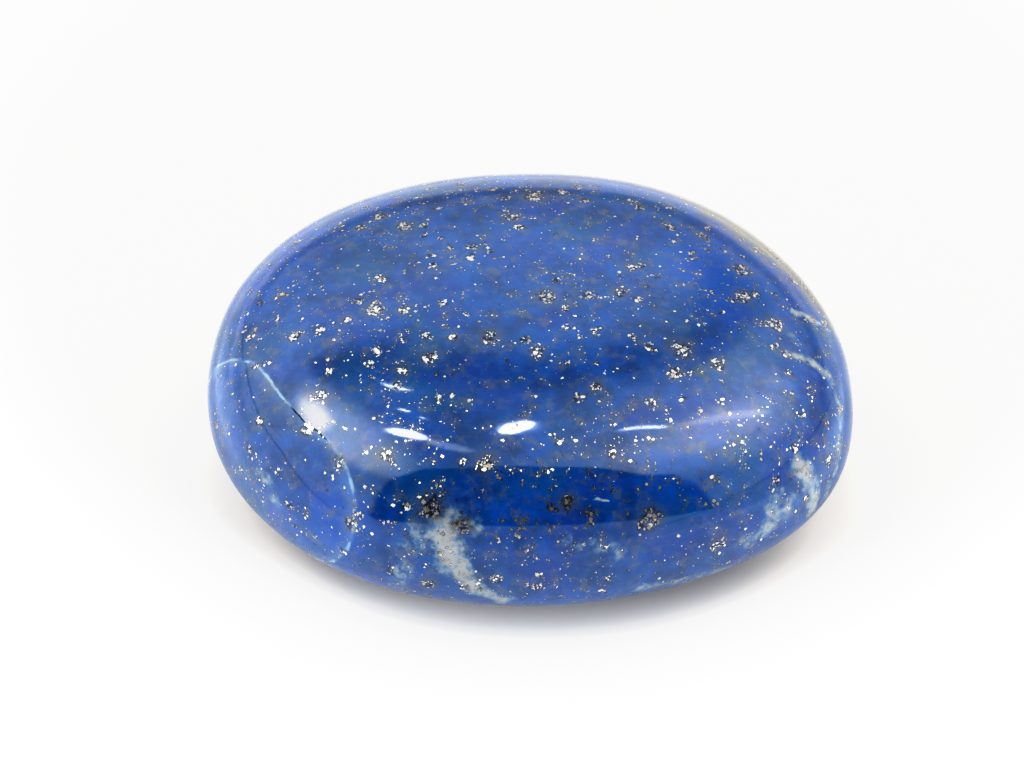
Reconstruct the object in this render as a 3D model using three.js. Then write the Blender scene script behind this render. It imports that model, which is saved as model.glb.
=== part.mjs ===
// A polished lapis lazuli palm stone: one pebble, ground and tumbled to a plump, slightly
// lopsided oval with a gently domed crown, a rounded wall and a small flat spot to rest on.
//
// Units are millimetres. +X runs along the stone, +Y across it and +Z up. The origin is on
// the surface that the stone rests on, below the middle of its plan.
import * as THREE from "three";

// Overall size.
const LENGTH = 65;
const WIDTH = 54.9;
const THICKNESS = 23.1;

// Upright section. The girdle is the widest level. Above and below it the section is a
// superellipse: a flatness of 2 makes a round crown and more makes a flatter one, and a wall
// of 2 makes a round side and more makes a steeper one.
const GIRDLE_HEIGHT = 10.2;
const CROWN = { flatness: 2.8, wall: 2.3 };
const BASE = { flatness: 2.9, wall: 2.2 };

// The base is a shallow dome whose lowest part is worn away to the flat rest spot.
const REST_SPOT_WEAR = 0.15;

// Plan outline, a superellipse. Swells are the low, broad lobes left by hand grinding: how
// many there are round the stone, how far they stand out as a share of the radius, and the
// direction of the first one, in degrees from +X.
const PLAN_FULLNESS = 2.19;
const WIDER_TOWARDS_X = 0.078;
const SWELLS = [
  { count: 3, share: 0.024, direction: -5 },
  { count: 4, share: 0.0123, direction: -15 },
  { count: 5, share: 0.004, direction: -18 },
];

// Facets of the mesh.
const SEGMENTS_ROUND = 112;
const RINGS_CROWN = 24;
const RINGS_BASE = 13;

const COLOUR = 0x1c3f96;
const ROUGHNESS = 0.16;

// Raises the size of a number to a power and keeps its sign.
function signedPower(value, power) {
  return Math.sign(value) * Math.abs(value) ** power;
}

// One point of the plan outline before it is fitted to the stone's length and width.
function outlinePoint(angle) {
  const along = signedPower(Math.cos(angle), 2 / PLAN_FULLNESS);
  const across = signedPower(Math.sin(angle), 2 / PLAN_FULLNESS);
  let reach = 1;
  for (const swell of SWELLS) {
    const direction = THREE.MathUtils.degToRad(swell.direction);
    reach += swell.share * Math.cos(swell.count * (angle - direction));
  }
  return new THREE.Vector2(along * reach, across * (1 + WIDER_TOWARDS_X * along) * reach);
}

// The plan outline at the girdle, centred on the origin and exactly LENGTH by WIDTH.
function planOutline() {
  const points = [];
  for (let i = 0; i < SEGMENTS_ROUND; i += 1) {
    points.push(outlinePoint((2 * Math.PI * i) / SEGMENTS_ROUND));
  }
  const box = new THREE.Box2().setFromPoints(points);
  const middle = box.getCenter(new THREE.Vector2());
  const size = box.getSize(new THREE.Vector2());
  const scale = new THREE.Vector2(LENGTH / size.x, WIDTH / size.y);
  return points.map((point) => point.sub(middle).multiply(scale));
}

// A level of the section at a turn from 0, at the pole, to a quarter circle, at the girdle:
// its reach as a share of the girdle's, and its height as a share of the dome's.
function sectionLevel(turn, { flatness, wall }) {
  const reach = Math.sin(turn) ** (2 / flatness);
  const height = Math.cos(turn) ** (2 / wall);
  return { reach, height };
}

// The levels from just below the top of the crown down to the rim of the rest spot.
function sectionLevels() {
  const levels = [];
  const crownHeight = THICKNESS - GIRDLE_HEIGHT;
  for (let i = 1; i <= RINGS_CROWN; i += 1) {
    const level = sectionLevel(((Math.PI / 2) * i) / RINGS_CROWN, CROWN);
    levels.push({ reach: level.reach, z: GIRDLE_HEIGHT + crownHeight * level.height });
  }
  const baseDepth = GIRDLE_HEIGHT + REST_SPOT_WEAR;
  const rimTurn = Math.acos((GIRDLE_HEIGHT / baseDepth) ** (BASE.wall / 2));
  for (let i = 1; i < RINGS_BASE; i += 1) {
    const turn = THREE.MathUtils.lerp(Math.PI / 2, rimTurn, i / RINGS_BASE);
    const level = sectionLevel(turn, BASE);
    levels.push({ reach: level.reach, z: GIRDLE_HEIGHT - baseDepth * level.height });
  }
  levels.push({ reach: sectionLevel(rimTurn, BASE).reach, z: 0 });
  return levels;
}

// Rings of the outline at each level, closed by a fan at the crown and one in the rest spot.
function pebbleGeometry() {
  const outline = planOutline();
  const levels = sectionLevels();
  const positions = [0, 0, THICKNESS];
  for (const level of levels) {
    for (const point of outline) {
      positions.push(point.x * level.reach, point.y * level.reach, level.z);
    }
  }
  positions.push(0, 0, 0);

  const top = 0;
  const bottom = positions.length / 3 - 1;
  const vertex = (ring, i) => 1 + ring * SEGMENTS_ROUND + (i % SEGMENTS_ROUND);
  const faces = [];
  for (let i = 0; i < SEGMENTS_ROUND; i += 1) {
    faces.push(top, vertex(0, i), vertex(0, i + 1));
    for (let ring = 0; ring < levels.length - 1; ring += 1) {
      faces.push(vertex(ring, i), vertex(ring + 1, i), vertex(ring + 1, i + 1));
      faces.push(vertex(ring, i), vertex(ring + 1, i + 1), vertex(ring, i + 1));
    }
    faces.push(bottom, vertex(levels.length - 1, i + 1), vertex(levels.length - 1, i));
  }

  const geometry = new THREE.BufferGeometry();
  geometry.setAttribute("position", new THREE.Float32BufferAttribute(positions, 3));
  geometry.setIndex(faces);
  geometry.computeVertexNormals();
  return geometry;
}

// The palm stone itself.
function palmStone() {
  const material = new THREE.MeshStandardMaterial({
    name: "polished_lapis",
    color: COLOUR,
    roughness: ROUGHNESS,
    metalness: 0,
  });
  const stone = new THREE.Mesh(pebbleGeometry(), material);
  stone.name = "palm_stone";
  return stone;
}

const part = new THREE.Group();
part.name = "lapis_lazuli_palm_stone";
part.add(palmStone());

export default part;
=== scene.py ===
import math
from collections import namedtuple

import bpy
import numpy as np
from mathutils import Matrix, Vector


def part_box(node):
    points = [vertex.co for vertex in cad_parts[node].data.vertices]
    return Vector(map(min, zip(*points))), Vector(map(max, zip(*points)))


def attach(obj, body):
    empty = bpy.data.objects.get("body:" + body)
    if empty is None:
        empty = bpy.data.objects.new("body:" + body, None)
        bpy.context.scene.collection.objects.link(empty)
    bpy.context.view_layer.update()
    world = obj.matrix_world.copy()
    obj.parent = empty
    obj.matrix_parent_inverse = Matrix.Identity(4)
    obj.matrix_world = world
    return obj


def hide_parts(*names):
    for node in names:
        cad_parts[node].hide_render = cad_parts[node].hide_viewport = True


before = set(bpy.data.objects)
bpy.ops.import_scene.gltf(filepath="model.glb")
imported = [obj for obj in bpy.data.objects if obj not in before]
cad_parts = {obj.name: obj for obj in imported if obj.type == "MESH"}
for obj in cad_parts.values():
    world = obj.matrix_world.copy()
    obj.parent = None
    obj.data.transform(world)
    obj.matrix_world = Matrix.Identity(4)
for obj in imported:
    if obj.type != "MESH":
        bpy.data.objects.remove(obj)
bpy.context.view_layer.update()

# A polished lapis lazuli palm stone. Shapes are in millimetres until a mesh is made from
# them, and the shaders work in millimetres too.
MM = 0.001

# ---------------------------------------------------------------------------------------
# The stone's shape. Its size is the CAD node's, and its section and plan are the node's
# own: a superellipse section above and below the girdle, over a lopsided oval plan.
# ---------------------------------------------------------------------------------------
NODE = "palm_stone"
LOW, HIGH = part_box(NODE)
LENGTH, WIDTH, THICKNESS = (HIGH - LOW) / MM

GIRDLE_HEIGHT = 10.2
CROWN = {"flatness": 2.8, "wall": 2.3}
BASE = {"flatness": 2.9, "wall": 2.2}
REST_SPOT_WEAR = 0.15

PLAN_FULLNESS = 2.19
WIDER_TOWARDS_X = 0.078
SWELLS = [  # count round the stone, share of the radius, direction in degrees
    (3, 0.024, -5),
    (4, 0.0123, -15),
    (5, 0.004, -18),
]

SEGMENTS_ROUND = 400
RINGS_CROWN = 120
RINGS_BASE = 70


def signed_power(value, power):
    """Raises the size of a number to a power and keeps its sign."""
    return np.sign(value) * np.abs(value) ** power


def plan_outline(segments):
    """The girdle's outline, centred on the origin and exactly LENGTH by WIDTH."""
    angle = np.arange(segments) * 2 * math.pi / segments
    along = signed_power(np.cos(angle), 2 / PLAN_FULLNESS)
    across = signed_power(np.sin(angle), 2 / PLAN_FULLNESS)
    reach = np.ones(segments)
    for count, share, direction in SWELLS:
        reach += share * np.cos(count * (angle - math.radians(direction)))
    outline = np.stack([along * reach, across * (1 + WIDER_TOWARDS_X * along) * reach], 1)
    low, high = outline.min(0), outline.max(0)
    return (outline - (low + high) / 2) * np.array([LENGTH, WIDTH]) / (high - low)


def section_level(turn, dome):
    """Reach and height shares of the section, from 0 at the pole to a quarter circle."""
    reach = math.sin(turn) ** (2 / dome["flatness"])
    height = math.cos(turn) ** (2 / dome["wall"])
    return reach, height


def section_levels():
    """(reach, z) of each ring, from just below the top down to the rest spot's rim."""
    levels = []
    crown_height = THICKNESS - GIRDLE_HEIGHT
    for i in range(1, RINGS_CROWN + 1):
        reach, height = section_level(math.pi / 2 * i / RINGS_CROWN, CROWN)
        levels.append((reach, GIRDLE_HEIGHT + crown_height * height))
    base_depth = GIRDLE_HEIGHT + REST_SPOT_WEAR
    rim_turn = math.acos((GIRDLE_HEIGHT / base_depth) ** (BASE["wall"] / 2))
    for i in range(1, RINGS_BASE):
        turn = math.pi / 2 + (rim_turn - math.pi / 2) * i / RINGS_BASE
        reach, height = section_level(turn, BASE)
        levels.append((reach, GIRDLE_HEIGHT - base_depth * height))
    levels.append((section_level(rim_turn, BASE)[0], 0.0))
    return levels


def pebble_faces(rings):
    """Fans of triangles at the top and the bottom, and squares from ring to ring."""
    here = np.arange(SEGMENTS_ROUND)
    sides = list(zip(here, (here + 1) % SEGMENTS_ROUND))
    faces = [(0, 1 + a, 1 + b) for a, b in sides]
    for ring in range(rings - 1):
        upper = 1 + ring * SEGMENTS_ROUND
        lower = upper + SEGMENTS_ROUND
        faces += [(upper + a, lower + a, lower + b, upper + b) for a, b in sides]
    last = 1 + (rings - 1) * SEGMENTS_ROUND
    bottom = last + SEGMENTS_ROUND
    faces += [(bottom, last + b, last + a) for a, b in sides]
    return [tuple(int(corner) for corner in face) for face in faces]


def pebble_mesh(name):
    """Rings of the outline at each level, closed at the top and in the rest spot."""
    outline = plan_outline(SEGMENTS_ROUND)
    levels = section_levels()
    rings = [np.column_stack([outline * reach, np.full(len(outline), z)]) for reach, z in levels]
    points = np.vstack([[[0, 0, THICKNESS]], *rings, [[0, 0, 0]]])
    mesh = bpy.data.meshes.new(name)
    mesh.from_pydata((points * MM).tolist(), [], pebble_faces(len(levels)))
    mesh.validate()
    mesh.shade_smooth()
    return mesh


# ---------------------------------------------------------------------------------------
# Shader nodes
# ---------------------------------------------------------------------------------------
# A kind of noise patch: how large its lumps are, their detail and roughness, and the two
# noise values between which a patch fades in.
Patches = namedtuple("Patches", "size detail roughness start end")


class Graph:
    """Adds nodes to a tree. Apart from add and feed, a call gives back what comes out."""

    def __init__(self, tree):
        self.tree = tree
        tree.nodes.clear()

    def add(self, kind, inputs=None, **settings):
        """A new node of this kind, with these inputs and settings."""
        node = self.tree.nodes.new(kind)
        for key, value in settings.items():
            setattr(node, key, value)
        for key, value in (inputs or {}).items():
            self.feed(node.inputs[key], value)
        return node

    def feed(self, socket, value):
        """Links an output to the socket, or sets the socket to a number or a colour."""
        if isinstance(value, bpy.types.NodeSocket):
            self.tree.links.new(value, socket)
        else:
            socket.default_value = value

    def math(self, operation, a, b=0.0, c=0.0):
        return self.add("ShaderNodeMath", {0: a, 1: b, 2: c}, operation=operation).outputs[0]

    def vector(self, operation, a, b):
        node = self.add("ShaderNodeVectorMath", {0: a, 1: b}, operation=operation)
        return node.outputs["Value" if operation in ("DISTANCE", "DOT_PRODUCT") else 0]

    def unit(self, a):
        return self.add("ShaderNodeVectorMath", {0: a}, operation="NORMALIZE").outputs[0]

    def scale(self, a, factor):
        node = self.add("ShaderNodeVectorMath", {0: a, "Scale": factor}, operation="SCALE")
        return node.outputs[0]

    def split(self, a):
        return self.add("ShaderNodeSeparateXYZ", {0: a}).outputs

    def join(self, x, y, z):
        return self.add("ShaderNodeCombineXYZ", {0: x, 1: y, 2: z}).outputs[0]

    def step(self, value, start, end):
        """Rises smoothly from 0 at start to 1 at end; start may be above end."""
        inputs = {"Value": value, "From Min": start, "From Max": end}
        node = self.add("ShaderNodeMapRange", inputs, interpolation_type="SMOOTHSTEP")
        return node.outputs[0]

    def between(self, value, low, high, soft):
        """1 from low to high, and 0 beyond, with edges twice soft wide."""
        rise = self.step(value, low - soft, low + soft)
        return self.times(rise, self.step(value, high + soft, high - soft))

    def line(self, value, slope, start):
        """A straight line: start where the value is 0, and slope more for each 1."""
        return self.math("MULTIPLY_ADD", value, slope, start)

    def ramp(self, value, at_0, at_1):
        """A straight line through at_0 where the value is 0 and at_1 where it is 1."""
        return self.line(value, at_1 - at_0, at_0)

    def mix(self, factor, a, b):
        """From colour a where the factor is 0 to colour b where it is 1."""
        node = self.add("ShaderNodeMix", data_type="RGBA", clamp_factor=True)
        for socket, value in zip((node.inputs[0], node.inputs[6], node.inputs[7]), (factor, a, b)):
            self.feed(socket, value)
        return node.outputs[2]

    def blend(self, factor, a, b):
        """From number a where the factor is 0 to number b where it is 1."""
        node = self.add("ShaderNodeMix", data_type="FLOAT", clamp_factor=True)
        for socket, value in zip((node.inputs[0], node.inputs[2], node.inputs[3]), (factor, a, b)):
            self.feed(socket, value)
        return node.outputs[0]

    def noise(self, place, size, detail=2.0, roughness=0.5):
        """Noise whose lumps are about size across, centred on 0.5."""
        return self.add("ShaderNodeTexNoise", {
            "Vector": place, "Scale": 1 / size, "Detail": detail, "Roughness": roughness,
        }).outputs

    def patches(self, place, kind):
        """How far inside one of the noise patches of this kind a place is, from 0 to 1."""
        noise = self.noise(place, kind.size, kind.detail, kind.roughness)
        return self.step(noise["Fac"], kind.start, kind.end)

    def cells(self, place, size, distance="EUCLIDEAN"):
        """Random cells about size across, and distances in cell sizes."""
        inputs = {"Vector": place, "Scale": 1 / size}
        return self.add("ShaderNodeTexVoronoi", inputs, distance=distance).outputs

    def times(self, *values):
        product = values[0]
        for value in values[1:]:
            product = self.math("MULTIPLY", product, value)
        return product

    def plus(self, *values):
        total = values[0]
        for value in values[1:]:
            total = self.math("ADD", total, value)
        return total

    def most(self, *values):
        largest = values[0]
        for value in values[1:]:
            largest = self.math("MAXIMUM", largest, value)
        return largest

    def minus(self, a, b):
        return self.math("SUBTRACT", a, b)

    def over(self, a, b):
        return self.math("DIVIDE", a, b)


# ---------------------------------------------------------------------------------------
# Lapis lazuli. Places and sizes are in millimetres, colours in linear light. An edge is a
# pair of values between which something fades in.
# ---------------------------------------------------------------------------------------
LAZURITE_BRIGHT = (0.0020, 0.0450, 0.147, 1)
LAZURITE_DEEP = (0.0010, 0.0275, 0.091, 1)
LAZURITE_TEAL = (0.0015, 0.0420, 0.109, 1)
LAZURITE_VIOLET = (0.0045, 0.0325, 0.132, 1)
LAZURITE_CLEAR = (0.0020, 0.0460, 0.163, 1)
DENIM = (0.020, 0.058, 0.148, 1)            # lazurite clouded with fine calcite
CALCITE = (0.140, 0.155, 0.166, 1)
CALCITE_BLUE = (0.040, 0.086, 0.145, 1)     # calcite thin enough for lazurite to show through
RIND = (0.074, 0.075, 0.065, 1)             # weathered, and brownish
HEALED = (0.110, 0.165, 0.215, 1)           # the filling of the old fracture
# Painted shade: the open crack is near black and reflects nothing, standing in for the shade of
# its gap.
CRACK_SHADE = (0.002, 0.004, 0.008, 1)
TARNISH = (0.024, 0.022, 0.020, 1)          # the dark metal round pyrite
OLIVE_VEIL = (0.074, 0.076, 0.072, 1)       # pyrite dust too fine to see as grains
PYRITE = (0.352, 0.350, 0.345, 1)
PYRITE_DULL = (0.173, 0.172, 0.168, 1)

# Lazurite: its mottle, its tints, its fine flecks, and the share of each other colour.
MOTTLE_SIZES = (1.7, 7.0)
MOTTLE_BROAD_SHARE = 0.60
MOTTLE_EDGE = (0.36, 0.64)
TINTS = (6.0, 1.0)               # size and detail
TINT_EDGE = (0.50, 0.68)
TEAL_SHARE = 0.7
VIOLET_SHARE = 0.6
CLOUD_EDGE = (0.42, 0.60)
CLOUD_SHARES = (0.12, 0.52)      # of denim in a fleck, outside and inside a cloud
FLECKS = (0.9, 3.0, 0.6)         # size, detail and roughness
FLECK_EDGE = (0.44, 0.74)
FLECK_SHADES = (0.82, 1.18)      # of the darkest and the lightest fleck
CLEAR_SHARE = 0.8
CLEAR_CORE = 0.3                 # share of a patch's reach within which it is at its clearest

# The clearest lazurite, in patches: middle, and how far each reaches.
CLEAR_PATCHES = [
    ((18.0, 5.5, 21.6), 9.0),
    ((-16.5, -24.0, 13.5), 5.5),
]

# The largest pyrite clusters: centre, and how far each reaches.
CLUSTERS = [
    ((20.8, 6.8, 20.8), 1.0), ((14.5, -9.7, 22.0), 0.8), ((1.2, -8.6, 22.9), 0.8),
    ((-2.9, -20.9, 20.0), 1.0), ((-13.3, 9.9, 22.1), 0.9), ((-15.4, -24.0, 14.5), 0.7),
    ((24.3, -0.4, 20.2), 0.9), ((-9.1, -9.5, 22.5), 0.9), ((-3.5, -6.8, 23.0), 1.0),
    ((1.6, -0.9, 23.1), 1.1), ((-11.5, -11.2, 22.1), 0.7), ((15.0, -6.6, 22.2), 1.2),
    ((18.6, -7.7, 21.5), 0.8), ((-12.0, -12.8, 21.8), 0.6), ((12.8, -23.3, 16.0), 1.1),
    ((-4.8, -25.5, 16.2), 0.9), ((-26.3, -7.7, 18.6), 0.6), ((-17.7, 10.3, 21.3), 0.7),
    ((8.8, 0.3, 23.0), 0.8), ((25.2, -4.0, 19.8), 0.6), ((19.5, -22.1, 12.0), 0.8),
    ((16.7, 11.3, 21.2), 0.7), ((-15.9, 12.3, 21.2), 0.7), ((20.8, 2.3, 21.2), 1.0),
    ((-24.9, 1.2, 20.0), 0.6), ((5.1, -23.6, 18.0), 0.8), ((-0.5, 15.7, 21.8), 1.2),
    ((-8.0, -27.0, 9.7), 0.7), ((-20.3, -16.3, 18.8), 0.8), ((-7.7, -24.1, 17.4), 1.3),
    ((-15.0, -3.0, 22.4), 1.0), ((-12.1, -3.1, 22.7), 0.7), ((-22.5, -5.3, 20.6), 0.8),
    ((-17.6, -4.1, 21.9), 0.6), ((-19.5, -13.1, 20.2), 1.0), ((-25.2, -13.9, 17.1), 0.6),
    ((-16.7, -19.8, 18.2), 0.7), ((-12.3, -19.9, 19.5), 0.8), ((-2.5, 11.4, 22.6), 0.9),
    ((-7.0, -7.0, 22.9), 0.6), ((9.7, 4.3, 22.8), 0.6), ((7.1, -12.3, 22.3), 0.6),
]
CLUSTER_RAGGED = (1.0, 0.7, 2.0)    # size, reach and detail of the push on their edges
CLUSTER_EDGE = (0.75, 1.6)          # a cluster's reach over the distance from its centre
CLUSTER_VEIL_EDGE = (0.35, 1.1)
CLUSTER_VEIL = 0.35

# Small clusters, in random cells.
SMALL_SPACING = 1.7
SMALL_SHARES = (0.16, 0.58)         # of the cells, outside and inside a swarm
SMALL_REACHES = (0.10, 0.36)        # smallest and largest, in cells
SMALL_EDGE = (-0.12, 0.12)
SMALL_VEIL = 0.25

# Swarms are broad regions with more pyrite, and drifts are wisps of its dust.
SWARMS = Patches(size=8.0, detail=2.0, roughness=0.5, start=0.36, end=0.60)
DRIFTS = Patches(size=1.5, detail=3.0, roughness=0.6, start=0.47, end=0.72)
DRIFT_VEIL = 0.42
DRIFT_SCATTER = (0.30, 1.0)         # how much a drift scatters, outside and inside a swarm
SWARM_SCATTER = 0.12

# Two sizes of pyrite grain: size of the cells, share of the cells that hold a grain, what a
# cluster and scatter add to that share, and how dark the tarnish round a grain is.
Grains = namedtuple("Grains", "size share in_clusters in_scatter rim seed")
FINE = Grains(size=0.25, share=0.011, in_clusters=0.42, in_scatter=0.28, rim=0.60, seed=1)
COARSE = Grains(size=0.40, share=0.034, in_clusters=0.52, in_scatter=0.30, rim=0.80, seed=2)
SEED_OFFSET = (17.3, 5.1, 9.7)
GRAIN_RAGGED = (0.20, 0.11)         # size and reach of the push on their edges
GIRTH = 0.34                        # of the smallest grain, in cells
GIRTH_SPREAD = 0.42
GIRTH_IN_CLUSTERS = 0.26
GRAIN_EDGE = (-0.10, 0.10)
RIM_EDGE = (-0.34, -0.06)
RIM_SHARES = (0.65, 1.0)            # of the tarnish, outside and inside a cluster
GAPS = Patches(size=0.45, detail=1.0, roughness=0.5, start=0.44, end=0.58)
GAP_TARNISH = 0.60
DUST = (0.13, 1.0)                  # size and detail
DUST_IN_SCATTER = 0.10
DUST_EDGE = (0.70, 0.86)
DUST_SHARE = 0.30
BRIGHT_COARSE = 0.30                # how much brighter coarse grains are than fine ones
BRIGHT_IN_CLUSTERS = 0.25
BRIGHT_EDGE = (0.35, 1.15)

# Calcite, in streaks: from, to, how far it reaches and how white it is.
STREAKS = [
    ((-5.9, -24.9, 16.8), (-6.6, -25.8, 15.6), 1.7, 0.7),
    ((-6.6, -25.8, 15.6), (-5.4, -27.1, 12.5), 2.4, 1.0),
    ((-5.4, -27.1, 12.5), (-3.6, -27.3, 9.8), 2.0, 1.0),
    ((-3.6, -27.3, 9.8), (-0.7, -27.1, 7.9), 1.6, 0.75),
    ((-9.2, -25.5, 15.4), (-10.8, -26.2, 8.4), 2.2, 0.34),
    ((-3.3, -25.6, 16.3), (-4.5, -25.1, 16.7), 1.4, 0.5),
    ((4.9, -25.8, 15.3), (10.0, -25.7, 13.5), 1.6, 0.25),
    ((-24.7, -17.7, 14.4), (-22.5, -20.4, 12.5), 1.4, 0.3),
    ((26.3, 2.7, 19.1), (29.7, 3.2, 16.5), 0.75, 0.85),
    ((25.2, -4.0, 19.8), (27.6, -3.4, 18.4), 0.75, 0.85),
    ((27.6, -3.4, 18.4), (29.7, -3.9, 16.9), 0.9, 0.85),
    ((25.9, -1.4, 19.5), (26.5, -1.8, 19.2), 1.3, 0.35),
    ((29.7, -3.9, 16.9), (31.0, -8.0, 14.6), 0.9, 0.42),
    ((30.8, -9.4, 13.7), (29.6, -13.4, 10.0), 1.4, 0.5),
    ((26.8, -14.6, 15.6), (28.5, -14.9, 10.0), 1.9, 0.9),
    ((26.0, -17.4, 12.6), (22.3, -20.5, 10.8), 1.9, 0.6),
    ((24.5, -17.9, 14.4), (24.1, -19.0, 12.7), 1.5, 0.45),
    ((12.0, -25.3, 8.4), (22.0, -20.5, 6.5), 1.4, 0.4),
    ((5.2, -23.4, 18.1), (8.4, -22.9, 17.9), 0.22, 0.75),
]
STREAK_RAGGED = (2.0, 0.8, 2.0)     # size, reach and detail of the push on their edges
STREAK_RIM = (0.0, 0.25)
TATTER = (1.3, 5.0, 0.70)           # size, detail and roughness of the finer tatter
TATTER_REACH = 2.3
WHITE_EDGE = (0.26, 0.92)
BLUE_EDGE = (-0.02, 0.60)

# The weathered rind is what lies beyond this distance in this direction.
RIND_TOWARDS = (0.68, 0.73, 0.0)
RIND_EDGE = (22.2, 24.8)
RIND_TATTER = 3.5
RIND_PATCHES = Patches(size=3.5, detail=3.0, roughness=0.5, start=0.38, end=0.62)
RIND_SHARES = (0.50, 0.92)

# The healed fracture, a gently wavy sheet across one end. Along it lie a stretch where it
# gapes and one where its filling is strong, each given as low, high and soft edge.
FRACTURE_THROUGH = (-22.1, -14.3, 16.8)
FRACTURE_FACING = (-0.737, -0.599, 0.313)
FRACTURE_ALONG = (0.631, -0.776, 0.0)
WAVE_HEIGHT = 0.33
WAVE_RATE = 0.39                    # radians per millimetre along the fracture
WAVE_START = 0.16
JITTER = (1.6, 4.0, 0.6)            # size, detail and roughness
JITTER_HEIGHT = 0.45
STRONG_PATCHES = Patches(size=1.4, detail=1.0, roughness=0.5, start=0.38, end=0.62)
STRONG_STRETCH = (-5.5, -1.0, 1.0)
OPEN_STRETCH = (-0.4, 5.0, 0.4)
LINE_EDGE = (0.17, 0.03)
LINE_SHARES = (0.20, 0.95)          # of the filling, where it is weak and where strong
LINE_LEFT_OPEN = 0.15               # share of it that stays where the fracture gapes
BLOOM_EDGES = ((-0.3, 0.0), (1.0, 0.0))     # fading in at the line, and out beyond it
BLOOM = 0.22
# How wide the painted shade of the open crack is.
CRACK_SHADE_EDGE = (0.065, 0.025)
LEAN_EDGES = ((-0.05, 0.05), (3.5, 0.0))    # the same
LEAN = 0.05

# The surface.
GRAIN_TILT = 0.20                   # of each grain's normal, at random
GLOSS_STONE = 0.06
GLOSS_METAL = 0.36
STONE_IOR = 1.5
POLISH = (0.35, 1.0)                # size and detail of the polish's fine marks
POLISH_DEPTH = 0.0010
UNDULATION = (5.0, 0.0)             # and of its slow undulation
UNDULATION_DEPTH = 0.055


def centred(g, colour):
    """A random colour as a random vector round 0."""
    return g.vector("SUBTRACT", colour, (0.5, 0.5, 0.5))


def ragged(g, place, size, reach, detail=1.0):
    """The place, pushed about so that edges drawn with it come out ragged."""
    push = centred(g, g.noise(place, size, detail)["Color"])
    return g.vector("ADD", place, g.scale(push, 2 * reach))


def small_clusters(g, place, swarm):
    """How far inside a small cluster a place is. A share of random cells holds one."""
    cell = g.cells(place, SMALL_SPACING)
    chance, size, _ = g.split(cell["Color"])
    chosen = g.math("LESS_THAN", chance, g.ramp(swarm, *SMALL_SHARES))
    inside = g.minus(g.ramp(size, *SMALL_REACHES), cell["Distance"])
    return g.times(chosen, g.step(inside, *SMALL_EDGE))


def clusters(g, place):
    """(how densely pyrite grows, olive veil round it, how many scattered grains there are)"""
    place = ragged(g, place, *CLUSTER_RAGGED)
    near = 0.0
    for centre, reach in CLUSTERS:
        near = g.most(near, g.over(reach, g.vector("DISTANCE", place, centre)))
    swarm = g.patches(place, SWARMS)
    drift = g.patches(place, DRIFTS)
    small = small_clusters(g, place, swarm)
    density = g.most(g.step(near, *CLUSTER_EDGE), small)
    veil = g.most(
        g.times(g.step(near, *CLUSTER_VEIL_EDGE), CLUSTER_VEIL),
        g.times(small, SMALL_VEIL),
        g.times(drift, DRIFT_VEIL),
    )
    scatter = g.times(drift, g.ramp(swarm, *DRIFT_SCATTER))
    return density, veil, g.line(swarm, SWARM_SCATTER, scatter)


def grains(g, place, kind, density, scatter):
    """(grain, tarnish round it, random colour). A share of random cells holds a grain."""
    offset = tuple(kind.seed * shift for shift in SEED_OFFSET)
    cell = g.cells(g.vector("ADD", place, offset), kind.size, "MANHATTAN")
    chance, girth, _ = g.split(cell["Color"])
    share = g.plus(
        g.times(density, kind.in_clusters), g.times(scatter, kind.in_scatter), kind.share,
    )
    chosen = g.math("LESS_THAN", chance, share)
    girth = g.plus(
        g.times(girth, girth, GIRTH_SPREAD), g.times(density, GIRTH_IN_CLUSTERS), GIRTH,
    )
    inside = g.minus(girth, cell["Distance"])
    grain = g.times(chosen, g.step(inside, *GRAIN_EDGE))
    rim = g.times(chosen, g.step(inside, *RIM_EDGE), kind.rim)
    return grain, rim, cell["Color"]


def pyrite(g, place):
    """(grain, tarnish round it, olive veil, brightness, each grain's random colour)"""
    density, veil, scatter = clusters(g, place)
    place = ragged(g, place, *GRAIN_RAGGED)
    fine, fine_rim, fine_random = grains(g, place, FINE, density, scatter)
    coarse, coarse_rim, coarse_random = grains(g, place, COARSE, density, scatter)

    rim = g.times(g.most(fine_rim, coarse_rim), g.ramp(density, *RIM_SHARES))
    gaps = g.times(density, g.patches(place, GAPS), GAP_TARNISH)
    dust = g.line(scatter, DUST_IN_SCATTER, g.noise(place, *DUST)["Fac"])
    dust = g.times(g.step(dust, *DUST_EDGE), DUST_SHARE)

    random = g.mix(coarse, fine_random, coarse_random)
    bright = g.plus(
        g.times(coarse, BRIGHT_COARSE), g.times(density, BRIGHT_IN_CLUSTERS), g.split(random)[2],
    )
    bright = g.step(bright, *BRIGHT_EDGE)
    return g.most(fine, coarse, dust), g.most(rim, gaps), veil, bright, random


def capsule(g, place, start, end):
    """Distance from the straight line between two points."""
    start, end = Vector(start), Vector(end)
    along = end - start
    offset = g.vector("SUBTRACT", place, tuple(start))
    share = g.over(g.vector("DOT_PRODUCT", offset, tuple(along)), along.length_squared)
    share = g.math("MINIMUM", g.math("MAXIMUM", share, 0.0), 1.0)
    return g.vector("DISTANCE", offset, g.scale(tuple(along), share))


def calcite(g, place, tatter):
    """(share of white calcite, share of the blue calcite round it)"""
    near = 0.0
    for start, end, reach, white in STREAKS:
        near = g.most(near, g.times(g.step(capsule(g, place, start, end), reach, 0.0), white))
    tattered = g.line(tatter, TATTER_REACH, near)
    present = g.step(near, *STREAK_RIM)
    white = g.times(g.step(tattered, *WHITE_EDGE), present)
    blue = g.times(g.step(tattered, *BLUE_EDGE), present)
    return white, blue


def rind(g, place, pushed, tatter):
    """Share of rind, which is patchy."""
    outward = g.vector("DOT_PRODUCT", pushed, RIND_TOWARDS)
    outward = g.line(tatter, RIND_TATTER, outward)
    patchy = g.ramp(g.patches(place, RIND_PATCHES), *RIND_SHARES)
    return g.times(g.step(outward, *RIND_EDGE), patchy)


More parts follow.
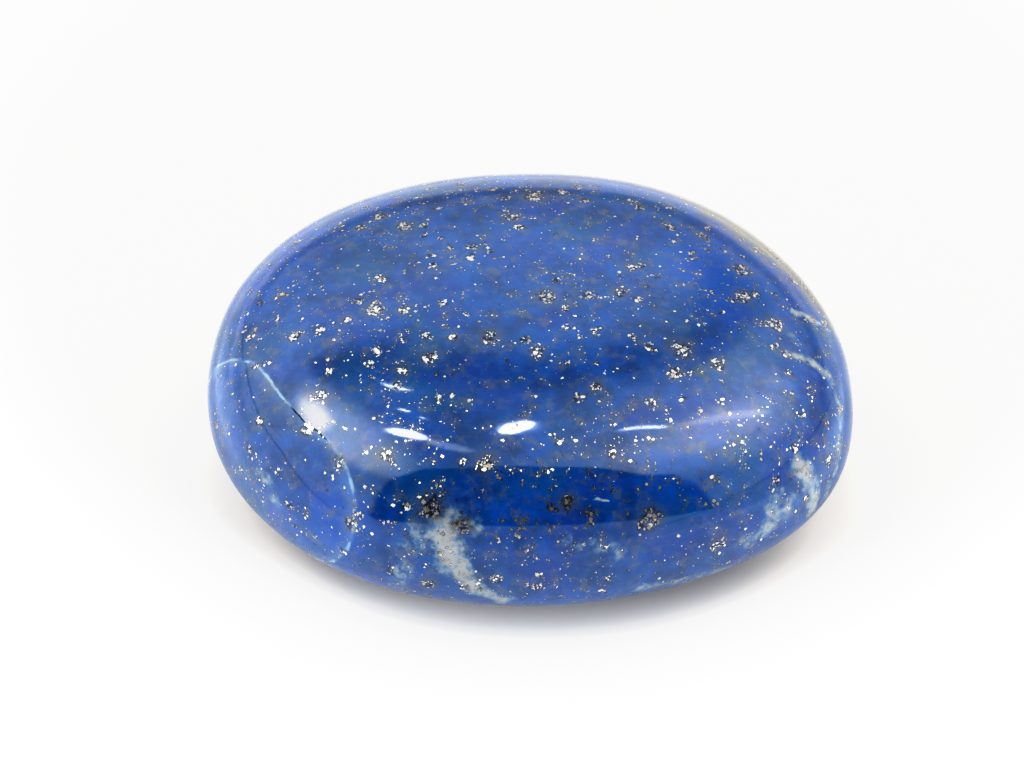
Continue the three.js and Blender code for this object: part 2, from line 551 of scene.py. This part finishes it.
def fracture(g, place):
    """(pale healed line, painted shade in its open stretch, how far the polish leans beyond it)"""
    offset = g.vector("SUBTRACT", place, FRACTURE_THROUGH)
    along = g.vector("DOT_PRODUCT", offset, FRACTURE_ALONG)
    wave = g.math("COSINE", g.line(along, WAVE_RATE, WAVE_START))
    jitter = g.times(g.minus(g.noise(place, *JITTER)["Fac"], 0.5), JITTER_HEIGHT)
    beyond = g.plus(
        g.vector("DOT_PRODUCT", offset, FRACTURE_FACING), g.times(wave, -WAVE_HEIGHT), jitter,
    )
    away = g.math("ABSOLUTE", beyond)

    gaping = g.between(along, *OPEN_STRETCH)
    strong = g.most(g.patches(place, STRONG_PATCHES), g.between(along, *STRONG_STRETCH))
    line = g.times(g.step(away, *LINE_EDGE), g.ramp(strong, *LINE_SHARES))
    line = g.times(line, g.ramp(gaping, 1.0, LINE_LEFT_OPEN))
    bloom = g.times(*(g.step(beyond, *edge) for edge in BLOOM_EDGES), BLOOM)
    # Painted shade: the gap along the open stretch, drawn dark.
    crack_shade = g.times(g.step(away, *CRACK_SHADE_EDGE), gaping)
    lean = g.times(*(g.step(beyond, *edge) for edge in LEAN_EDGES), LEAN)
    return g.most(line, bloom), crack_shade, lean


def lazurite(g, place):
    """Ultramarine, mottled light and deep, tinted here and there, and flecked."""
    fine, broad = (g.noise(place, size)["Fac"] for size in MOTTLE_SIZES)
    mottle = g.step(g.blend(MOTTLE_BROAD_SHARE, fine, broad), *MOTTLE_EDGE)
    body = g.mix(mottle, LAZURITE_DEEP, LAZURITE_BRIGHT)

    teal, violet, cloud = g.split(g.noise(place, *TINTS)["Color"])
    body = g.mix(g.times(g.step(teal, *TINT_EDGE), TEAL_SHARE), body, LAZURITE_TEAL)
    body = g.mix(g.times(g.step(violet, *TINT_EDGE), VIOLET_SHARE), body, LAZURITE_VIOLET)
    clear = 0.0
    for middle, reach in CLEAR_PATCHES:
        away = g.vector("DISTANCE", place, middle)
        clear = g.most(clear, g.step(away, reach, CLEAR_CORE * reach))
    body = g.mix(g.times(clear, CLEAR_SHARE), body, LAZURITE_CLEAR)

    denim, shade, _ = g.split(g.noise(place, *FLECKS)["Color"])
    clouded = g.ramp(g.step(cloud, *CLOUD_EDGE), *CLOUD_SHARES)
    body = g.mix(g.times(g.step(denim, *FLECK_EDGE), clouded), body, DENIM)
    return g.scale(body, g.ramp(shade, *FLECK_SHADES))


def surface(g, place, tilt):
    """The normal, with the polish's faint marks on it. Tilt leans it here and there."""
    normal = g.add("ShaderNodeNewGeometry").outputs["Normal"]
    height = g.plus(
        g.times(g.noise(place, *POLISH)["Fac"], POLISH_DEPTH * MM),
        g.times(g.noise(place, *UNDULATION)["Fac"], UNDULATION_DEPTH * MM),
    )
    return g.add("ShaderNodeBump", {
        "Height": height, "Distance": 1.0, "Strength": 1.0,
        "Normal": g.unit(g.vector("ADD", normal, tilt)),
    }).outputs[0]


def lapis_material():
    """Polished lapis lazuli: blue, then calcite, rind, fracture and pyrite over one another."""
    material = bpy.data.materials.new("polished_lapis")
    material.use_nodes = True
    g = Graph(material.node_tree)
    place = g.scale(g.add("ShaderNodeTexCoord").outputs["Object"], 1 / MM)

    pushed = ragged(g, place, *STREAK_RAGGED)
    tatter = g.minus(g.noise(place, *TATTER)["Fac"], 0.5)
    white, blue = calcite(g, pushed, tatter)
    body = g.mix(blue, lazurite(g, place), CALCITE_BLUE)
    body = g.mix(rind(g, place, pushed, tatter), body, RIND)
    body = g.mix(white, body, CALCITE)
    pale, crack_shade, lean = fracture(g, place)
    body = g.mix(pale, body, HEALED)
    # Painted shade of the open crack's gap, near black.
    body = g.mix(crack_shade, body, CRACK_SHADE)

    grain, tarnish, veil, bright, random = pyrite(g, place)
    body = g.mix(veil, body, OLIVE_VEIL)
    body = g.mix(tarnish, body, TARNISH)
    colour = g.mix(grain, body, g.mix(bright, PYRITE_DULL, PYRITE))
    # The crack is made metal too, so that with its black colour it reflects nothing: painted shade
    # of its gap.
    metal = g.most(grain, tarnish, crack_shade)

    tilt = g.scale(centred(g, random), g.times(grain, GRAIN_TILT))
    tilt = g.vector("ADD", tilt, g.scale(FRACTURE_FACING, lean))
    shader = g.add("ShaderNodeBsdfPrincipled", {
        "Base Color": colour,
        "Metallic": metal,
        "Roughness": g.blend(metal, GLOSS_STONE, GLOSS_METAL),
        "IOR": STONE_IOR,
        "Normal": surface(g, place, tilt),
    })
    g.add("ShaderNodeOutputMaterial", {"Surface": shader.outputs[0]})
    return material


# ---------------------------------------------------------------------------------------
# The studio: a white tent, open in front, with soft lights on both sides and lamps in its
# ceiling. It is the world's light, by direction, so it is the same for every view. A
# direction's x is to the camera's right, y away from the camera, front towards it and z up.
# Azimuths are from the camera's side, positive to its right, and in degrees.
# ---------------------------------------------------------------------------------------
CAMERA_TURN = 3.5          # that the camera stands round from straight in front
CAMERA_ELEVATION = 44.0
CAMERA_DISTANCE = 286.65
LENS = 100.0
SENSOR_WIDTH = 36.0
FRAME_SHIFT = (-0.01754, -0.00893)

# What the tent adds to a brightness of 1, and where. Along an axis of the direction it
# fades in between two values, or lies in a band of low, high and soft edge.
WALLS = [
    (-0.20, {"z": (0.85, 0.98)}),                               # the ceiling's middle
    (0.35, {"x": (-0.4, -0.9), "z": (0.2, 0.45)}),              # the left wall
    (0.30, {"z": (0.22, 0.0), "front": (0.2, 0.7)}),            # the floor in front
    (-0.45, {"x": (0.4, 0.9), "z": (0.42, 0.25)}),              # the foot of the right wall
    (-0.40, {"z": (0.09, 0.21, 0.04), "y": (0.0, 0.4)}),        # a dim line low behind
    (0.60, {"y": (0.0, 0.9), "z": (0.50, 0.78, 0.12)}),         # a pale band high behind
    (-0.15, {"y": (0.0, 0.9), "z": (0.15, 0.36, 0.10)}),        # a dim band below it
]
WALL_SHADE = (0.0, 0.06, 0.06)      # what the walls lack of each colour, low down
WALL_SHADE_EDGE = (0.6, 0.2)

# The dark gap between the back wall and the ceiling, on a ceiling 1 unit up, and the dark
# edge down the back wall, which is placed in radians round from straight behind.
GAP_ACROSS = (-0.72, 0.36, 0.08)
GAP_BEHIND = (0.52, 0.78, 0.10)
EDGE_ROUND = (math.radians(18), math.radians(32), 0.09)
EDGE_BEHIND = (0.55, 0.8)
EDGE_ABOVE = (0.25, 0.5)
GAP_DARKNESS = 0.54

SEAMS = [  # of the tent's cloth: azimuth and elevation of the top, and how wide the arc is
    (-98, 21, 10.2),
    (69, 19, 12.4),
]
SEAM_EDGE = (0.9, 0.2)
SEAM_FOOT = (0.0, 3.0)
SEAM_DARKNESS = 0.50

# Lights: middle, half length and half width on a ceiling 1 unit up, turn, strength. They
# fade between two squared distances from the middle.
SOFT_LIGHTS = [
    ((-0.87, 0.29), (0.16, 0.14), -69, 4.4),
    ((-0.71, 0.07), (0.40, 0.26), -69, 3.0),
    ((0.60, 0.13), (0.38, 0.17), 42, 1.4),
    ((0.75, 0.20), (0.75, 0.50), 35, 1.5),
    ((0.68, 0.255), (0.26, 0.035), 19, 2.0),
]
SOFT_EDGE = (2.4, 0.0)
SOFT_TINT = (1.0, 0.88, 0.68)
LAMPS = [
    ((-0.33, 0.11), (0.085, 0.032), -22, 14),
    ((-0.20, 0.02), (0.070, 0.030), -40, 2.2),
    ((-0.020, 0.195), (0.045, 0.017), 66, 40),
    ((0.270, 0.138), (0.065, 0.013), 4, 11),
    ((-0.305, 0.505), (0.050, 0.006), -13, 22),
    ((-0.305, 0.325), (0.028, 0.006), -28, 16),
    ((-0.242, 0.256), (0.016, 0.005), -38, 12),
]
LAMP_EDGE = (1.5, 0.5)

# The opening, on a plane 1 unit in front: p to the right and q up. Its sill and its head
# bow, its left corner is cut off, and its sides lean and spread.
SILL = 0.575
SILL_BOW = -0.29
SILL_SLOPE_LEFT = 0.12
SILL_SOFT = 0.03
CORNER_SLOPE = 0.5
CORNER = 0.11
CORNER_SOFT = 0.05
HEAD = 5.9
HEAD_BOW = -0.9
HEAD_SOFT = 0.25
SIDES_MIDDLE = 0.03
SIDES_LEAN = -0.04
SIDES_HALF = 0.90
SIDES_SPREAD = 0.17
SIDES_SPREAD_TO = 2.2
SIDES_SOFT = 0.04

FILL_AZIMUTH = 50
FILL_ELEVATION = 20
FILL_DISTANCE = 600
FILL_SIZE = 300
FILL_POWER = 1.08

# The table glows a little by itself beyond an oval round the stone, as if light bounced
# back to it. Beside the stone it glows more than behind it, and in front a little less
# than beside it. How far behind is a share of the distance from the stone.
TABLE_HALF = 3000
TABLE_COLOUR = (0.450, 0.453, 0.458, 1)
TABLE_ROUGHNESS = 0.5
TABLE_IOR = 1.45
TABLE_SPECULAR = 0.2
OVAL_MIDDLE = 40.0                  # that it lies behind the stone's middle
OVAL_HALF = (64.0, 66.5)            # of its width and its depth
OVAL_EDGE = (0.88, 1.16)
GLOW_BEHIND = 0.25
GLOW_GAIN_BESIDE = 0.60
BESIDE_EDGE = (0.6, 0.25)
GLOW_LOSS_IN_FRONT = 0.15
IN_FRONT_EDGE = (-0.5, -1.0)

# The photograph's exposure and contrast, and how its brightest tones flatten out.
EXPOSURE = 2.36
CONTRAST = 1.9
SHOULDER = [(0.37, 0.37), (0.46, 0.406), (0.66, 0.4140), (1.0, 0.4190)]

TINY = 0.001               # keeps a division from being by 0


def from_stone(azimuth, elevation):
    """The unit vector from the stone in this direction."""
    turn, rise = math.radians(CAMERA_TURN + azimuth), math.radians(elevation)
    level = math.cos(rise)
    return Vector((math.sin(turn) * level, -math.cos(turn) * level, math.sin(rise)))


def fade(g, value, *places):
    """Fades in from start to end, or fills a band of low, high and soft edge."""
    return g.between(value, *places) if len(places) == 3 else g.step(value, *places)


def light_on_ceiling(g, ceiling, middle, half, turn, strength, edge):
    """A soft ellipse on the ceiling."""
    u, v, above = ceiling
    turn = math.radians(turn)
    across, up = g.minus(u, middle[0]), g.minus(v, middle[1])
    along = g.plus(g.times(across, math.cos(turn)), g.times(up, math.sin(turn)))
    aside = g.plus(g.times(across, -math.sin(turn)), g.times(up, math.cos(turn)))
    along, aside = g.over(along, half[0]), g.over(aside, half[1])
    away = g.plus(g.times(along, along), g.times(aside, aside))
    return g.times(above, g.step(away, *edge), strength)


def opening(g, x, front, z):
    """1 in the tent's opening, through which no light comes."""
    ahead = g.most(front, TINY)
    p, q = g.over(x, ahead), g.over(z, ahead)
    bowed = g.times(p, p)
    left = g.math("MINIMUM", p, 0.0)
    sill = g.plus(g.times(bowed, SILL_BOW), g.times(left, SILL_SLOPE_LEFT), SILL)
    corner = g.plus(q, g.times(p, CORNER_SLOPE), CORNER)
    head = g.line(bowed, HEAD_BOW, HEAD)
    middle = g.line(q, SIDES_LEAN, SIDES_MIDDLE)
    half = g.line(g.math("MINIMUM", q, SIDES_SPREAD_TO), SIDES_SPREAD, SIDES_HALF)
    inside = g.minus(half, g.math("ABSOLUTE", g.minus(p, middle)))
    return g.times(
        g.step(g.minus(q, sill), -SILL_SOFT, SILL_SOFT),
        g.step(corner, -CORNER_SOFT, CORNER_SOFT),
        g.step(g.minus(head, q), -HEAD_SOFT, HEAD_SOFT),
        g.step(inside, -SIDES_SOFT, SIDES_SOFT),
        g.math("GREATER_THAN", front, 0.0),
    )


def walls(g, axes):
    """The tent's cloth: brighter to the sides, with the patches and bands in WALLS."""
    light = g.line(axes["x"], axes["x"], 1.0)
    for added, places in WALLS:
        where = (fade(g, axes[axis], *place) for axis, place in places.items())
        light = g.plus(light, g.times(*where, added))
    return light


def gaps_in_cloth(g, u, v, z):
    """The dark gap behind the ceiling and the dark edge down the back wall."""
    gap = g.times(g.between(v, *GAP_BEHIND), g.between(u, *GAP_ACROSS))
    azimuth = g.math("ARCTAN2", u, v)
    edge = g.times(
        g.between(azimuth, *EDGE_ROUND), g.step(v, *EDGE_BEHIND), g.step(z, *EDGE_ABOVE),
    )
    return g.most(gap, edge)


def seam(g, azimuth, elevation, top_azimuth, top_elevation, spread):
    """A seam of the cloth, which arches down to the floor on both sides of its top."""
    aside = g.over(g.minus(azimuth, top_azimuth), spread)
    off = g.plus(elevation, g.times(aside, aside), -top_elevation)
    return g.times(g.step(g.math("ABSOLUTE", off), *SEAM_EDGE), g.step(elevation, *SEAM_FOOT))


def darkened(g, light, where, darkness):
    """The light, with this share of it taken away there."""
    return g.times(light, g.minus(1.0, g.times(where, darkness)))


def studio_world():
    """The tent's cloth, the dark gap and seams in it, its lights and its opening."""
    world = bpy.data.worlds.new("white_tent")
    bpy.context.scene.world = world
    world.use_nodes = True
    g = Graph(world.node_tree)
    direction = g.add("ShaderNodeVectorRotate", {
        "Vector": g.add("ShaderNodeTexCoord").outputs["Generated"],
        "Angle": -math.radians(CAMERA_TURN),
    }, rotation_type="Z_AXIS").outputs[0]
    x, y, z = g.split(direction)
    front = g.times(y, -1.0)
    up = g.most(z, TINY)
    u, v = g.over(x, up), g.over(y, up)

    azimuth = g.math("DEGREES", g.math("ARCTAN2", x, front))
    elevation = g.math("DEGREES", g.math("ARCSINE", z))
    seams = g.most(*(seam(g, azimuth, elevation, *each) for each in SEAMS))
    light = walls(g, {"x": x, "y": y, "front": front, "z": z})
    light = darkened(g, light, gaps_in_cloth(g, u, v, z), GAP_DARKNESS)
    light = darkened(g, light, seams, SEAM_DARKNESS)

    ceiling = (u, v, g.math("GREATER_THAN", z, 0.0))
    light = g.plus(light, *(light_on_ceiling(g, ceiling, *each, LAMP_EDGE) for each in LAMPS))
    soft = g.plus(*(light_on_ceiling(g, ceiling, *each, SOFT_EDGE) for each in SOFT_LIGHTS))

    closed = g.minus(1.0, opening(g, x, front, z))
    low = g.step(z, *WALL_SHADE_EDGE)
    colour = []
    for shade, tint in zip(WALL_SHADE, SOFT_TINT):
        wall = g.times(light, g.line(low, -shade, 1.0))
        colour.append(g.times(g.plus(wall, g.times(soft, tint)), closed))
    background = g.add("ShaderNodeBackground", {"Color": g.join(*colour), "Strength": 1.0})
    g.add("ShaderNodeOutputWorld", {"Surface": background.outputs[0]})


def fill_light(azimuth):
    """A soft light from low in front. It isn't reflected in the stone."""
    data = bpy.data.lights.new("fill", "AREA")
    data.shape = "DISK"
    data.size = FILL_SIZE * MM
    data.energy = FILL_POWER
    fill = bpy.data.objects.new("fill", data)
    away = from_stone(azimuth, FILL_ELEVATION)
    fill.location = away * FILL_DISTANCE * MM
    fill.rotation_euler = away.to_track_quat("Z", "Y").to_euler()
    fill.visible_glossy = False
    bpy.context.scene.collection.objects.link(fill)


def table_glow(g):
    """How strongly the table glows at each place."""
    x, y, _ = g.split(g.scale(g.add("ShaderNodeTexCoord").outputs["Object"], 1 / MM))
    across = g.over(x, OVAL_HALF[0])
    along = g.over(g.plus(y, -OVAL_MIDDLE), OVAL_HALF[1])
    away = g.math("SQRT", g.plus(g.times(across, across), g.times(along, along)))
    far = g.math("SQRT", g.plus(g.times(x, x), g.times(y, y), 1.0))
    behind = g.over(y, far)
    glow = g.plus(
        GLOW_BEHIND,
        g.times(g.step(behind, *BESIDE_EDGE), GLOW_GAIN_BESIDE),
        g.times(g.step(behind, *IN_FRONT_EDGE), -GLOW_LOSS_IN_FRONT),
    )
    return g.times(g.step(away, *OVAL_EDGE), glow)


def white_table():
    """The white table that the stone lies on."""
    half = TABLE_HALF * MM
    mesh = bpy.data.meshes.new("table")
    corners = [(-half, -half, 0), (half, -half, 0), (half, half, 0), (-half, half, 0)]
    mesh.from_pydata(corners, [], [(0, 1, 2, 3)])
    table = bpy.data.objects.new("table", mesh)
    bpy.context.scene.collection.objects.link(table)
    material = bpy.data.materials.new("white_table")
    material.use_nodes = True
    g = Graph(material.node_tree)
    shader = g.add("ShaderNodeBsdfPrincipled", {
        "Base Color": TABLE_COLOUR,
        "Roughness": TABLE_ROUGHNESS,
        "IOR": TABLE_IOR,
        "Specular IOR Level": TABLE_SPECULAR,
        "Emission Color": (1, 1, 1, 1),
        "Emission Strength": table_glow(g),
    })
    g.add("ShaderNodeOutputMaterial", {"Surface": shader.outputs[0]})
    mesh.materials.append(material)


def camera():
    """The photograph's view of the stone."""
    data = bpy.data.cameras.new("camera")
    data.lens = LENS
    data.sensor_width = SENSOR_WIDTH
    data.shift_x, data.shift_y = FRAME_SHIFT
    data.clip_start = 0.01
    data.clip_end = 20
    eye = bpy.data.objects.new("camera", data)
    back = from_stone(0, CAMERA_ELEVATION)
    target = Vector((0, 0, THICKNESS / 2)) * MM
    eye.location = target + back * CAMERA_DISTANCE * MM
    eye.rotation_euler = back.to_track_quat("Z", "Y").to_euler()
    bpy.context.scene.collection.objects.link(eye)
    bpy.context.scene.camera = eye


def tone():
    """The photograph's bright, contrasty exposure."""
    view = bpy.context.scene.view_settings
    view.view_transform = "Standard"
    view.exposure = math.log2(EXPOSURE)
    view.gamma = 1 / CONTRAST
    view.use_curve_mapping = True
    *_, combined = view.curve_mapping.curves
    combined.points[1].location = SHOULDER[-1]
    for place in SHOULDER[:-1]:
        combined.points.new(*place)
    for point in combined.points:
        point.handle_type = "VECTOR"
    view.curve_mapping.update()


stone = bpy.data.objects.new("lapis_stone", pebble_mesh("lapis_stone"))
bpy.context.scene.collection.objects.link(stone)
stone.data.materials.append(lapis_material())
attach(stone, "root")
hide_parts(NODE)

studio_world()
fill_light(-FILL_AZIMUTH)
fill_light(FILL_AZIMUTH)
white_table()
camera()
tone()
